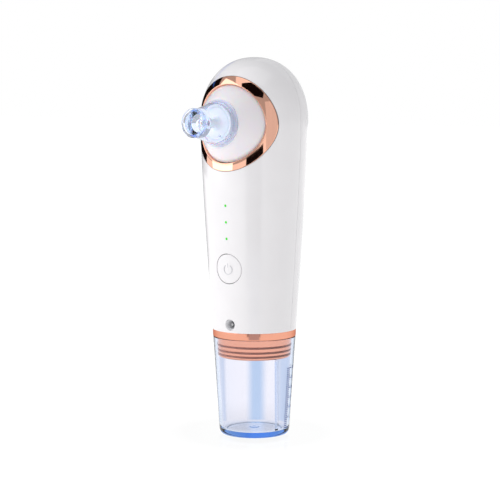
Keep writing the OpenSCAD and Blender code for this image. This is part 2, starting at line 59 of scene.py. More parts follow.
# %% Driving sizes
MM = 0.001
TANK_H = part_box("tank_cup")[1][2]
shell_low, shell_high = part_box("rear_shell")
TANK_FOOT_R = 17.35 * MM
TANK_RIM_R = 20.6 * MM
TANK_WALL = 1.5 * MM
TANK_FLOOR = 2.6 * MM
FOOT_ROUND = 3.0 * MM
HOUSING_FOOT = shell_low[2]
HOUSING_TOP = shell_high[2]
SHOULDER_R = 26.5 * MM
SHOULDER_Z = 156 * MM
SIDE_TAPER = 0.0712
SIDE_BEND = 2 * MM
DOME_POWER = 2.15
SHELL_WALL = 1.8 * MM
PARTING_Y = 1.2 * MM
HEAD_Z = 154.3 * MM
HEAD_TILT = math.radians(2.0)
RING_R = 23.0 * MM
RING_BORE_R = 19.1 * MM
BUTTON_Z = 84.5 * MM
BUTTON_R = 7.2 * MM
SOCKET_Z = 56.7 * MM
SOCKET_FACE_R = 2.8 * MM
LENS_Z = [99.3 * MM, 107.4 * MM, 115.5 * MM]
print("tank height", round(TANK_H, 4), "housing", round(HOUSING_FOOT, 4), round(HOUSING_TOP, 4))

# %% [markdown]
# ## The camera
# It looks at the device a little from the right of its front and from just above, with
# a long lens from under a metre away, so the tank's floor shows and the sides stay
# nearly upright.

# %% Camera
CAMERA_TURN = math.radians(34.5)
CAMERA_DIP = math.radians(6.0)
CAMERA_FAR = 0.87
right = Vector((math.cos(CAMERA_TURN), math.sin(CAMERA_TURN), 0))
back = Vector((
    math.sin(CAMERA_TURN) * math.cos(CAMERA_DIP),
    -math.cos(CAMERA_TURN) * math.cos(CAMERA_DIP),
    math.sin(CAMERA_DIP),
))
aim = Vector((0, 0, 0.0918)) - 0.0022 * right
lens = bpy.data.cameras.new("studio_camera")
lens.lens = 126
lens.sensor_width = 36
lens.clip_start = 0.01
lens.clip_end = 50
camera = bpy.data.objects.new("studio_camera", lens)
bpy.context.collection.objects.link(camera)
camera.location = aim + back * CAMERA_FAR
camera.rotation_euler = (-back).to_track_quat("-Z", "Y").to_euler()
bpy.context.scene.camera = camera
print("camera at", [round(v, 3) for v in camera.location])

# %% [markdown]
# ## The studio
# A product like this is lit by one very large soft light from the left and by white
# surroundings. The floor glows white, so no edge of it shows, and it mirrors the foot
# faintly. Black and grey cards outside the view give the polished ring its dark accents:
# a mirror-like metal only looks like metal when it has something dark to mirror. Three
# pale blue cards behind the tank give the clear plastic something to show through it.

# %% Helpers for nodes
scene = bpy.context.scene
scene.view_settings.view_transform = "Standard"


def join(tree, value, socket):
    """Links a socket, or sets a plain value."""
    if isinstance(value, bpy.types.NodeSocket):
        tree.links.new(value, socket)
    else:
        socket.default_value = value


def add_node(tree, kind, **sockets):
    """A new node, with its named input sockets linked or set."""
    node = tree.nodes.new(kind)
    for label, value in sockets.items():
        join(tree, value, node.inputs[label.replace("_", " ")])
    return node


def operate(tree, kind, operation, *values):
    """A node that does one operation on its inputs."""
    node = tree.nodes.new(kind)
    node.operation = operation
    for index, value in enumerate(values):
        join(tree, value, node.inputs[index])
    return node


def reckon(tree, operation, *values):
    """One step of arithmetic in a node tree."""
    return operate(tree, "ShaderNodeMath", operation, *values).outputs[0]


def measure(tree, operation, *values):
    """One number worked out from vectors."""
    return operate(tree, "ShaderNodeVectorMath", operation, *values).outputs["Value"]


def arithmetic(tree):
    """The four plain operations in one tree: add, take away, multiply, divide."""
    return [partial(reckon, tree, name) for name in ("ADD", "SUBTRACT", "MULTIPLY", "DIVIDE")]


def mixed(tree, share, first, second):
    """A mix of two shaders, which is all of the second where the share is 1."""
    node = tree.nodes.new("ShaderNodeMixShader")
    for index, value in enumerate((share, first, second)):
        join(tree, value, node.inputs[index])
    return node.outputs[0]


def here_on(tree):
    """The place on the piece that a material patterns by."""
    return tree.nodes.new("ShaderNodeTexCoord").outputs["Object"]


def emission(tree, colour, strength=1.0):
    return add_node(tree, "ShaderNodeEmission", Color=(*colour, 1), Strength=strength).outputs[0]


def bare_material(name):
    """A material whose node tree is empty."""
    made = bpy.data.materials.new(name)
    made.use_nodes = True
    made.node_tree.nodes.clear()
    return made, made.node_tree


# %% Helpers for the stage
STAGE_AIM = Vector((0, 0, 0.1))
NEAR_BLACK = (0.006, 0.004, 0.004)


def link(name, data):
    """A new object that holds the mesh, the curve or the light."""
    made = bpy.data.objects.new(name, data)
    bpy.context.collection.objects.link(made)
    return made


def meshed(name, points, faces):
    mesh = bpy.data.meshes.new(name)
    mesh.from_pydata(points, [], faces)
    return mesh


def flat_card(name, centre, facing, width, height):
    """A flat rectangle at centre whose front looks along facing."""
    turn = Vector(facing).to_track_quat("Z", "Y").to_matrix()
    corners = [Vector((x * width / 2, y * height / 2, 0))
               for x, y in ((-1, -1), (1, -1), (1, 1), (-1, 1))]
    made = link(name, meshed(name, [turn @ c + Vector(centre) for c in corners], [(0, 1, 2, 3)]))
    return made


def round_about(turn, height, distance):
    """A place round the device, turned from the camera's own direction, in degrees."""
    angle, up = CAMERA_TURN + math.radians(turn), math.radians(height)
    return STAGE_AIM + distance * Vector((
        math.sin(angle) * math.cos(up), -math.cos(angle) * math.cos(up), math.sin(up)))


def hidden_from(piece, *rays):
    """Hides the piece from the named kinds of light ray."""
    for ray in rays:
        setattr(piece, "visible_" + ray, False)


def for_mirrors_only(card, colour):
    """Only mirror-like surfaces can see the card."""
    paint, tree = bare_material(card.name)
    add_node(tree, "ShaderNodeOutputMaterial", Surface=emission(tree, colour))
    card.data.materials.append(paint)
    hidden_from(card, "camera", "diffuse", "shadow", "transmission", "volume_scatter")


# %% Surroundings: white to the camera, and softer as a light
world = bpy.data.worlds.new("white_room")
scene.world = world
world.use_nodes = True
sky = world.node_tree
sky.nodes.clear()
seen = add_node(sky, "ShaderNodeBackground", Color=(1, 1, 1, 1))
lit = add_node(sky, "ShaderNodeBackground", Color=(0.975, 0.985, 1.0, 1), Strength=0.49)
by_camera = sky.nodes.new("ShaderNodeLightPath").outputs["Is Camera Ray"]
add_node(sky, "ShaderNodeOutputWorld",
         Surface=mixed(sky, by_camera, lit.outputs[0], seen.outputs[0]))

# %% Floor: it glows white, and mirrors only close to the foot
floor = flat_card("floor", (0, 0, -0.0001), (0, 0, 1), 8, 8)
floor_paint, paint = bare_material("white_floor")
near_foot = add_node(paint, "ShaderNodeMapRange", Value=measure(paint, "LENGTH", here_on(paint)),
                     From_Min=0.035, From_Max=0.075, To_Min=0.16, To_Max=0.0)
mirror = add_node(paint, "ShaderNodeBsdfGlossy", Roughness=0.12)
add_node(paint, "ShaderNodeOutputMaterial",
         Surface=mixed(paint, near_foot.outputs[0], emission(paint, (1, 1, 1), 1.1),
                       mirror.outputs[0]))
floor.data.materials.append(floor_paint)

# %% Cards that the polished pieces mirror
for name, turn, height, distance, lower, width, tall, colour in (
        ("front_card", -2, 0, 0.3, 0.033, 0.185, 0.134, NEAR_BLACK),
        ("right_card", 36, 10, 0.8, 0, 0.42, 0.5, (0.78, 0.78, 0.79)),
        ("foot_card", -1, 0, 0.15, 0.07, 0.075, 0.059, (0.56, 0.60, 0.72)),
        ("high_card", -8, 47, 0.8, 0, 0.62, 0.36, NEAR_BLACK),
        ("limb_card", -160, 0, 0.6, 0.04, 0.34, 0.13, (0.30, 0.30, 0.32))):
    spot = round_about(turn, height, distance)
    card = flat_card(name, spot - Vector((0, 0, lower)), STAGE_AIM - spot, width, tall)
    for_mirrors_only(card, colour)

# %% Pale blue cards behind the tank, seen only through clear plastic
behind = Vector((-math.sin(CAMERA_TURN), math.cos(CAMERA_TURN), 0))
BAND_FAR, BAND_MIDDLE_Z, BAND_TALL = 0.0212, 0.0211, 0.042
for name, middle, full, gone, colour in (
        ("middle_band", 0.0012, 0.0012, 0.0064, (0.60, 0.77, 0.97)),
        ("right_band", 0.0200, 0.0040, 0.0095, (0.69, 0.80, 0.94)),
        ("left_band", -0.0205, 0.0020, 0.0050, (0.76, 0.83, 0.93))):
    band_paint, tree = bare_material(name)
    across = measure(tree, "DOT_PRODUCT", here_on(tree), right)
    off_middle = reckon(tree, "ABSOLUTE", reckon(tree, "SUBTRACT", across, middle))
    fade = add_node(tree, "ShaderNodeMapRange", From_Min=full, From_Max=gone, To_Min=1.0,
                    To_Max=0.0, Value=off_middle)
    fade.interpolation_type = "SMOOTHSTEP"
    gap = tree.nodes.new("ShaderNodeBsdfTransparent").outputs[0]
    add_node(tree, "ShaderNodeOutputMaterial",
             Surface=mixed(tree, fade.outputs[0], gap, emission(tree, colour)))
    card = flat_card(name, middle * right + Vector((0, 0, BAND_MIDDLE_Z)) + BAND_FAR * behind,
                     -behind, 2 * gone, BAND_TALL)
    card.data.materials.append(band_paint)
    hidden_from(card, "camera", "diffuse", "shadow", "glossy")

# %% Lights
for name, turn, height, distance, size, power in (
        ("left_softbox", -75, 12, 0.9, (0.9, 1.4), 5.5),
        ("top_softbox", -20, 76, 0.8, (0.8, 0.8), 1.2),
        ("rim_softbox", 150, 15, 1.0, (0.9, 1.4), 1.0)):
    data = bpy.data.lights.new(name, "AREA")
    data.shape = "RECTANGLE"
    data.size, data.size_y = size
    data.energy = power
    softbox = link(name, data)
    softbox.location = round_about(turn, height, distance)
    softbox.rotation_euler = (softbox.location - STAGE_AIM).to_track_quat("Z", "Y").to_euler()
print("studio built")

# %% [markdown]
# ## Shader groups
# Moulded plastic is never perfectly flat: it has a slow waviness from the mould, a fine
# grain, and smudges where it was held. Those effects are needed in nearly every
# material, so each is a node group that puts out plain numbers. The shader itself stays
# in the material.


# %% Building node groups
def node_tree_of(kind, name, inputs, outputs):
    """A new node group with named sockets. Returns the tree and its two end nodes."""
    tree = bpy.data.node_groups.new(name, kind)
    for label, sort, value in inputs:
        made = tree.interface.new_socket(label, in_out="INPUT", socket_type=sort)
        if value is not None:
            made.default_value = value
    for label, sort in outputs:
        tree.interface.new_socket(label, in_out="OUTPUT", socket_type=sort)
    return tree, tree.nodes.new("NodeGroupInput"), tree.nodes.new("NodeGroupOutput")


def noise(tree, place, scale, detail=3.0):
    """A noise texture's value, from 0 to 1."""
    return add_node(tree, "ShaderNodeTexNoise", Vector=place, Scale=scale,
                    Detail=detail).outputs["Fac"]


FLOAT, VECTOR = "NodeSocketFloat", "NodeSocketVector"

# %% Moulded surface: slow waves and fine grain
moulded, m_in, m_out = node_tree_of(
    "ShaderNodeTree", "moulded_surface",
    [("Place", VECTOR, None), ("Wave Scale", FLOAT, 90.0), ("Grain Scale", FLOAT, 2500.0),
     ("Grain Share", FLOAT, 0.3)],
    [("Height", FLOAT), ("Tone", FLOAT)])
waves = noise(moulded, m_in.outputs["Place"], m_in.outputs["Wave Scale"], 1.0)
grain = noise(moulded, m_in.outputs["Place"], m_in.outputs["Grain Scale"], 2.0)
grain_part = reckon(moulded, "MULTIPLY", grain, m_in.outputs["Grain Share"])
join(moulded, reckon(moulded, "ADD", waves, grain_part), m_out.inputs["Height"])
join(moulded, waves, m_out.inputs["Tone"])

# %% Handling marks: smudges and fine scratches that change how rough a surface is
handled, h_in, h_out = node_tree_of(
    "ShaderNodeTree", "handling_marks",
    [("Place", VECTOR, None), ("Smudge Scale", FLOAT, 60.0), ("Smooth", FLOAT, 0.1),
     ("Rough", FLOAT, 0.2)],
    [("Roughness", FLOAT), ("Mask", FLOAT)])
smudge = noise(handled, h_in.outputs["Place"], h_in.outputs["Smudge Scale"], 5.0)
spread = add_node(handled, "ShaderNodeMapRange", Value=smudge, From_Min=0.35, From_Max=0.75)
span = reckon(handled, "SUBTRACT", h_in.outputs["Rough"], h_in.outputs["Smooth"])
added = reckon(handled, "MULTIPLY", span, spread.outputs[0])
join(handled, reckon(handled, "ADD", added, h_in.outputs["Smooth"]), h_out.inputs["Roughness"])
join(handled, spread.outputs[0], h_out.inputs["Mask"])

# %% Drawn lines: the fine parallel lines left by turning or brushing
drawn, d_in, d_out = node_tree_of(
    "ShaderNodeTree", "drawn_lines",
    [("Place", VECTOR, None), ("Line Scale", FLOAT, 1500.0), ("Stretch", VECTOR, (1, 1, 0.03))],
    [("Height", FLOAT)])
stretch = operate(drawn, "ShaderNodeVectorMath", "MULTIPLY", d_in.outputs["Place"],
                  d_in.outputs["Stretch"])
join(drawn, noise(drawn, stretch.outputs[0], d_in.outputs["Line Scale"], 2.0),
     d_out.inputs["Height"])
print("shader groups:", moulded.name, handled.name, drawn.name)

# %% [markdown]
# ## Materials
# Each finish is a Principled shader. `plastic` builds the common case: a colour that
# drifts very slightly, the moulded surface as a bump, and handling marks as roughness.
# The finishes that need something of their own, such as clear plastic, polished metal
# or a circuit board, add it to the same start.


# %% The common start of every material
def shader_of(material):
    return material.node_tree.nodes["Principled BSDF"]


def material_start(name, colour, **sockets):
    """A material with a Principled shader, and the place on the piece to pattern by."""
    made = bpy.data.materials.new(name)
    made.use_nodes = True
    tree = made.node_tree
    shader = tree.nodes["Principled BSDF"]
    shader.inputs["Base Color"].default_value = (*colour, 1)
    for label, value in sockets.items():
        shader.inputs[label.replace("_", " ")].default_value = value
    return made, tree, shader, here_on(tree)


def use_group(tree, group, place, **sizes):
    node = tree.nodes.new("ShaderNodeGroup")
    node.node_tree = group
    for label, value in {"Place": place, **sizes}.items():
        join(tree, value, node.inputs[label.replace("_", " ")])
    return node


def worn(tree, shader, place, smooth, rough):
    """Handling marks as the shader's roughness."""
    marks = use_group(tree, handled, place, Smooth=smooth, Rough=rough)
    join(tree, marks.outputs["Roughness"], shader.inputs["Roughness"])


def bump(tree, shader, height, distance, strength=1.0):
    node = add_node(tree, "ShaderNodeBump", Height=height, Distance=distance, Strength=strength)
    tree.links.new(node.outputs[0], shader.inputs["Normal"])


def tinted(tree, shader, factor, low, high):
    """Base Color from low to high as factor goes from 0 to 1."""
    mix = tree.nodes.new("ShaderNodeMix")
    mix.data_type = "RGBA"
    join(tree, factor, mix.inputs[0])
    mix.inputs[6].default_value = (*low, 1)
    mix.inputs[7].default_value = (*high, 1)
    tree.links.new(mix.outputs[2], shader.inputs["Base Color"])


def shade(colour, factor):
    return tuple(min(1, c * factor) for c in colour)


def plastic(name, colour, smooth, rough, wave=90.0, grain=2500.0, relief=0.00001, **sockets):
    """Moulded plastic or rubber, as dull and as grainy as its numbers say."""
    made, tree, shader, place = material_start(name, colour, **sockets)
    surface = use_group(tree, moulded, place, Wave_Scale=wave, Grain_Scale=grain)
    worn(tree, shader, place, smooth, rough)
    tinted(tree, shader, surface.outputs["Tone"], shade(colour, 0.97), shade(colour, 1.02))
    bump(tree, shader, surface.outputs["Height"], relief, 0.4)
    return made


def metal(name, colour, smooth, rough, lines=1500.0, stretch=(1, 1, 0.03), relief=0.000004):
    """Bare metal with the fine lines of its making."""
    made, tree, shader, place = material_start(name, colour, Metallic=1.0)
    worn(tree, shader, place, smooth, rough)
    streaks = use_group(tree, drawn, place, Line_Scale=lines, Stretch=stretch)
    tinted(tree, shader, streaks.outputs["Height"], shade(colour, 0.94), shade(colour, 1.04))
    bump(tree, shader, streaks.outputs["Height"], relief, 0.3)
    return made


# %% Finishes seen from outside
white_gloss = plastic("white_gloss", (0.89, 0.872, 0.888), 0.16, 0.22, relief=0.000006,
                      Coat_Weight=0.35, Coat_Roughness=0.06, Specular_IOR_Level=0.5)
rose_gold = metal("rose_gold", (0.94, 0.52, 0.38), 0.035, 0.07, lines=600.0,
                  relief=0.000001)
rose_satin = metal("rose_satin", (0.95, 0.46, 0.31), 0.14, 0.2, lines=900.0,
                   stretch=(1, 1, 9), relief=0.000002)
# A darker copy of the rose gold, as painted shade on the collar at the foot of the handle. Its
# specular tint darkens the collar's edges further, also as painted shade.
rose_gold_shaded = metal("rose_gold_shaded", (0.84, 0.38, 0.26), 0.1, 0.16, lines=900.0,
                  stretch=(1, 1, 9), relief=0.000002)
shader_of(rose_gold_shaded).inputs["Specular Tint"].default_value = (0.62, 0.42, 0.38, 1)
dark_rubber = plastic("dark_rubber", (0.36, 0.13, 0.09), 0.45, 0.6)
black_rubber = plastic("black_rubber", (0.035, 0.035, 0.038), 0.5, 0.65)
mark_grey = plastic("mark_grey", (0.62, 0.62, 0.65), 0.35, 0.45)
# The socket's two greys carry painted light: both are raised to offset the shade inside the hole,
# and the sleeve, deepest in it, most.
socket_grey = plastic("socket_grey", (0.74, 0.74, 0.76), 0.35, 0.5)
sleeve_painted_light = plastic("sleeve_painted_light", (0.82, 0.82, 0.84), 0.4, 0.55)
scale_ink = plastic("scale_ink", (0.01, 0.05, 0.27), 0.45, 0.6)
print("outside finishes ready")


# %% [markdown]
# ### Clear and milky plastic
# The tank and the nozzle are clear plastic with a faint blue. The colour is weak in a
# thin wall and strong where light runs along the material, such as in the thick foot,
# so the blue is absorbed inside the solid and isn't painted on its surface. The cover
# is milky: light enters it and comes back out, which subsurface scattering gives.

# %% Clear and milky finishes
def clear_plastic(name, tint, absorb_colour, absorb, smooth, rough, bending):
    """See-through plastic whose colour deepens with thickness."""
    made, tree, shader, place = material_start(
        name, tint, Transmission_Weight=1.0, IOR=bending)
    worn(tree, shader, place, smooth, rough)
    surface = use_group(tree, moulded, place, Wave_Scale=120.0, Grain_Scale=900.0,
                        Grain_Share=0.05)
    bump(tree, shader, surface.outputs["Height"], 0.00002, 0.25)
    tinted(tree, shader, surface.outputs["Tone"], shade(tint, 0.985), shade(tint, 1.01))
    inside = add_node(tree, "ShaderNodeVolumeAbsorption", Color=(*absorb_colour, 1),
                      Density=absorb)
    tree.links.new(inside.outputs[0], tree.nodes["Material Output"].inputs["Volume"])
    return made


def lets_light_in(*pieces):
    """Clear plastic lights up what is behind it, so it casts no shadow there."""
    for piece in pieces:
        hidden_from(piece, "shadow")


tank_clear = clear_plastic("tank_clear", (0.99, 0.95, 0.96), (0.0, 0.45, 0.95), 58.0,
                           0.01, 0.03, 1.26)
divider_clear = clear_plastic("divider_clear", (0.97, 0.98, 1.0), (0.3, 0.6, 0.95), 7.0, 0.02,
                              0.05, 1.12)
nozzle_clear = clear_plastic("nozzle_clear", (0.99, 0.985, 1.0), (0.15, 0.46, 0.97), 70.0,
                             0.02, 0.05, 1.27)
cover_milky = plastic("cover_milky", (0.91, 0.85, 0.885), 0.18, 0.26, relief=0.000005,
                      Subsurface_Weight=0.35, Subsurface_Scale=0.004, IOR=1.46)
seal_clear = plastic("seal_clear", (0.80, 0.83, 0.88), 0.3, 0.4, Subsurface_Weight=0.3,
                     Subsurface_Scale=0.002)
lens_lit = plastic("lens_lit", (0.05, 0.50, 0.03), 0.15, 0.25,
                   Emission_Color=(0.04, 0.62, 0.02, 1), Emission_Strength=0.5)
print("clear finishes ready")

# %% [markdown]
# ## Shapes that are turned or swept
# Nearly everything on this device is round: it is turned about the handle's own axis or
# about the head's. A turned piece is an outline carried round an axis. The ring and the
# cover follow the domed housing instead, so their outline changes as it goes round. One
# helper makes both: it takes one closed outline for each step of the turn.


# %% Outlines
def softened(corners, steps=4):
    """Rounds the corners of a closed outline. Each corner is (across, along, fillet)."""
    points = []
    for index, (across, along, fillet) in enumerate(corners):
        here = Vector((across, along))
        if fillet == 0:
            points.append(here)
            continue
        before = Vector(corners[index - 1][:2]) - here
        after = Vector(corners[(index + 1) % len(corners)][:2]) - here
        start = here + before.normalized() * min(fillet, before.length * 0.49)
        end = here + after.normalized() * min(fillet, after.length * 0.49)
        for step in range(steps + 1):
            t = step / steps
            points.append((1 - t) ** 2 * start + 2 * t * (1 - t) * here + t * t * end)
    return [(p.x * MM, p.y * MM) for p in points]


def smoothed(mesh, sharp):
    """Shades the mesh smooth up to an angle in degrees."""
    mesh.shade_smooth()
    mesh.set_sharp_from_angle(angle=math.radians(sharp))


def finished(mesh, sharp=32):
    """Merges doubles, turns the faces outwards and shades smooth up to an angle."""
    work = bmesh.new()
    work.from_mesh(mesh)
    bmesh.ops.remove_doubles(work, verts=work.verts, dist=1e-7)
    bmesh.ops.dissolve_degenerate(work, edges=work.edges, dist=1e-8)
    bmesh.ops.recalc_face_normals(work, faces=work.faces)
    work.to_mesh(mesh)
    work.free()
    smoothed(mesh, sharp)
    mesh.update()
    return mesh


def swept(name, loops, sharp=32):
    """A closed skin through closed outlines that go once round."""
    count = len(loops[0])
    faces = []
    for ring in range(len(loops)):
        here, following = ring * count, (ring + 1) % len(loops) * count
        for k in range(count):
            nxt = (k + 1) % count
            faces.append((here + k, here + nxt, following + nxt, following + k))
    points = [p for loop in loops for p in loop]
    return link(name, finished(meshed(name, points, faces), sharp))


def round_steps(steps):
    """The angles of a whole turn in equal steps."""
    return [2 * math.pi * step / steps for step in range(steps)]


def turned(name, outline, place, steps=144, sharp=32):
    """An outline of (radius, along) carried round the axis that place stands on."""
    return swept(name, [[place(r * math.cos(angle), r * math.sin(angle), d) for r, d in outline]
                        for angle in round_steps(steps)], sharp)


# %% Places on the device
def upright(u, v, d):
    return Vector((u, v, d))


def at_head(u, v, d):
    """From the head's own axis (right, up, outwards) to the device."""
    return Vector((u, v * math.sin(HEAD_TILT) - d * math.cos(HEAD_TILT),
                   HEAD_Z + v * math.cos(HEAD_TILT) + d * math.sin(HEAD_TILT)))


def at_front(z):
    """From an axis straight out of the front at height z to the device."""
    return lambda u, v, d: Vector((u, -d, z + v))


def side_radius(z):
    fall = SIDE_TAPER * (SHOULDER_Z - z)
    return SHOULDER_R + SIDE_BEND - math.sqrt(fall * fall + SIDE_BEND * SIDE_BEND)


def housing_radius(z):
    """Outer radius of the housing at height z, on the side or on the dome."""
    if z <= SHOULDER_Z:
        return side_radius(z)
    rise = min(1.0, (z - SHOULDER_Z) / (HOUSING_TOP - SHOULDER_Z))
    return SHOULDER_R * (1 - rise ** DOME_POWER) ** (1 / DOME_POWER)


def skin_depth(place, u, v):
    """How far out along an axis the housing's skin lies, beside it by u and v."""
    low, high = 0.0, 40 * MM
    for _ in range(36):
        middle = (low + high) / 2
        spot = place(u, v, middle)
        if math.hypot(spot.x, spot.y) < housing_radius(spot.z):
            low = middle
        else:
            high = middle
    return low


def skin_point(place, rho, phi, lift, along_axis=False):
    """A point lifted off the skin, at radius rho and angle phi about an axis."""
    u, v = rho * math.cos(phi), rho * math.sin(phi)
    depth = skin_depth(place, u, v)
    if along_axis:
        return place(u, v, depth + lift)
    spot = place(u, v, depth)
    step = 0.05 * MM
    slope = (housing_radius(spot.z + step) - housing_radius(spot.z - step)) / (2 * step)
    outwards = Vector((spot.x, spot.y, 0)).normalized()
    return spot + lift * (outwards - Vector((0, 0, slope))).normalized()


def tank_radius(z):
    return TANK_FOOT_R + (TANK_RIM_R - TANK_FOOT_R) * z / TANK_H


print("skin in front of the button:", round(skin_depth(at_front(BUTTON_Z), 0, 0), 4))

# %% [markdown]
# ### Giving a piece its place in the frame
# A finished piece rides on one body, takes one material, and hides the imported node it
# stands for. `settle` says all of that at once.


# %% Settling and cutting pieces
def settle(piece, body, slot, material, *nodes):
    piece.data.materials.clear()
    piece.data.materials.append(material)
    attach(piece, body)
    if nodes:
        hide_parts(*nodes)
    print(f"{piece.name}: {len(piece.data.polygons)} faces, rides on {body}")


def final_mesh(piece):
    """A new mesh of the piece as its modifiers leave it."""
    bpy.context.view_layer.update()
    shape = piece.evaluated_get(bpy.context.evaluated_depsgraph_get())
    return bpy.data.meshes.new_from_object(shape)


def applied(piece):
    """Makes the piece's modifiers part of its mesh."""
    mesh = final_mesh(piece)
    piece.modifiers.clear()
    piece.data = mesh
    return piece


def rod(place, radius, low, high, u=0.0, v=0.0, steps=96):
    """A plain round cutter along an axis."""
    outline = [(0, low), (radius, low), (radius, high), (0, high)]
    return turned("cutter", outline, lambda a, b, d: place(a + u, b + v, d), steps)


def cut(piece, *cutters):
    """Takes the cutters out of the piece, and then removes them."""
    for cutter in cutters:
        taking = piece.modifiers.new("cut", "BOOLEAN")
        taking.operation = "DIFFERENCE"
        taking.solver = "EXACT"
        taking.object = cutter
    applied(piece)
    for cutter in cutters:
        bpy.data.objects.remove(cutter)


# %% [markdown]
# ## The housing
# The housing is the main piece, and a rule gives its shape: the side tapers, bends softly
# at the shoulder, and ends in a dome that is a squarish ellipse. Geometry Nodes can turn
# that rule into a surface: a flat grid becomes the skin when each of its points is sent
# to an angle and a height. The radius at a height is needed again for the small lenses,
# so it is a group of its own.

# %% The radius rule as a node group
GEOMETRY = "NodeSocketGeometry"
SHAPE_SIZES = [("Shoulder Radius", FLOAT, SHOULDER_R), ("Shoulder Height", FLOAT, SHOULDER_Z),
               ("Side Taper", FLOAT, SIDE_TAPER), ("Side Bend", FLOAT, SIDE_BEND),
               ("Top Height", FLOAT, HOUSING_TOP), ("Dome Power", FLOAT, DOME_POWER)]
radius_rule, r_in, r_out = node_tree_of(
    "GeometryNodeTree", "housing_radius_rule", [("Height", FLOAT, 0.0)] + SHAPE_SIZES,
    [("Radius", FLOAT)])
r_size = r_in.outputs
add, less, times, over = arithmetic(radius_rule)
below = less(r_size["Shoulder Height"], r_size["Height"])
fall = times(below, r_size["Side Taper"])
bend_squared = times(r_size["Side Bend"], r_size["Side Bend"])
dip = reckon(radius_rule, "SQRT", add(times(fall, fall), bend_squared))
side = less(add(r_size["Shoulder Radius"], r_size["Side Bend"]), dip)
above = times(below, -1.0)
dome_height = less(r_size["Top Height"], r_size["Shoulder Height"])
rise = over(reckon(radius_rule, "MAXIMUM", above, 0.0), dome_height)
rise = reckon(radius_rule, "MINIMUM", rise, 1.0)
rest = less(1.0, reckon(radius_rule, "POWER", rise, r_size["Dome Power"]))
dome = times(r_size["Shoulder Radius"],
             reckon(radius_rule, "POWER", rest, over(1.0, r_size["Dome Power"])))
on_dome = reckon(radius_rule, "GREATER_THAN", above, 0.0)
join(radius_rule, add(times(dome, on_dome), times(side, less(1.0, on_dome))),
     r_out.inputs["Radius"])
print("radius rule:", len(radius_rule.nodes), "nodes")


# %% Helpers for geometry trees
def use_rule(tree, height, sizes):
    """Places the radius rule in a tree, with that tree's own sizes."""
    node = tree.nodes.new("GeometryNodeGroup")
    node.node_tree = radius_rule
    join(tree, height, node.inputs["Height"])
    for label, _, _ in SHAPE_SIZES:
        join(tree, sizes[label], node.inputs[label])
    return node.outputs["Radius"]


def placed_by(tree, geometry, x, y, z):
    """Sends every point to (x, y, z)."""
    spot = add_node(tree, "ShaderNodeCombineXYZ", X=x, Y=y, Z=z).outputs[0]
    return add_node(tree, "GeometryNodeSetPosition", Geometry=geometry,
                    Position=spot).outputs["Geometry"]


def parts_of_position(tree):
    """The x, y and z of every point."""
    here = tree.nodes.new("GeometryNodeInputPosition").outputs[0]
    return add_node(tree, "ShaderNodeSeparateXYZ", Vector=here).outputs


def close_tree(tree, out, geometry, material):
    """Ends a tree in Realize Instances and Set Material."""
    real = add_node(tree, "GeometryNodeRealizeInstances", Geometry=geometry).outputs[0]
    paint = add_node(tree, "GeometryNodeSetMaterial", Geometry=real, Material=material)
    tree.links.new(paint.outputs[0], out.inputs[0])


def grown(name, tree, **sizes):
    """The mesh that a geometry tree makes, as a new object with no modifier left."""
    seed = link(name, bpy.data.meshes.new(name))
    growing = seed.modifiers.new("grow", "NODES")
    growing.node_group = tree
    sockets = {item.name: item.identifier for item in tree.interface.items_tree}
    for label, value in sizes.items():
        growing[sockets[label.replace("_", " ")]] = value
    return applied(seed)


# %% The housing's skin
skin_tree, s_in, s_out = node_tree_of(
    "GeometryNodeTree", "housing_skin",
    [("Rows", "NodeSocketInt", 150), ("Columns", "NodeSocketInt", 257),
     ("Foot Height", FLOAT, HOUSING_FOOT), ("Side Share", FLOAT, 0.62)] + SHAPE_SIZES,
    [("Geometry", GEOMETRY)])
s_size = s_in.outputs
add, less, times, over = arithmetic(skin_tree)
grid = add_node(skin_tree, "GeometryNodeMeshGrid", Size_X=1.0, Size_Y=1.0,
                Vertices_X=s_size["Columns"], Vertices_Y=s_size["Rows"])
flat = parts_of_position(skin_tree)
turn = times(flat[0], 2 * math.pi)
climb = add(flat[1], 0.5)
side_share = reckon(skin_tree, "MINIMUM", over(climb, s_size["Side Share"]), 1.0)
side_rise = times(side_share, less(s_size["Shoulder Height"], s_size["Foot Height"]))
dome_share = over(less(climb, s_size["Side Share"]), less(1.0, s_size["Side Share"]))
dome_share = reckon(skin_tree, "MINIMUM", reckon(skin_tree, "MAXIMUM", dome_share, 0.0), 1.0)
arc = reckon(skin_tree, "SINE", times(dome_share, math.pi / 2))
arc_rise = reckon(skin_tree, "POWER", arc, over(2.0, s_size["Dome Power"]))
dome_rise = times(arc_rise, less(s_size["Top Height"], s_size["Shoulder Height"]))
height = add(add(s_size["Foot Height"], side_rise), dome_rise)
radius = use_rule(skin_tree, height, s_size)
skin = placed_by(skin_tree, grid.outputs["Mesh"],
                 times(radius, reckon(skin_tree, "COSINE", turn)),
                 times(radius, reckon(skin_tree, "SINE", turn)), height)
weld = add_node(skin_tree, "GeometryNodeMergeByDistance", Geometry=skin, Distance=1e-6)
close_tree(skin_tree, s_out, weld.outputs[0], white_gloss)
whole_skin = grown("housing_skin", skin_tree)
print("skin:", len(whole_skin.data.polygons), "faces, top at",
      round(max(v.co.z for v in whole_skin.data.vertices), 4))

# %% [markdown]
# ### Two shells with a fine gap
# The housing is moulded in two halves that meet in an upright seam. The skin is split
# there, each half gets its wall, and the edges of the seam and the foot are broken by a
# tiny bevel. The gap between them is a real one, so it reads as a line from any side.


# %% Splitting the skin
SEAM_GAP = 0.2 * MM


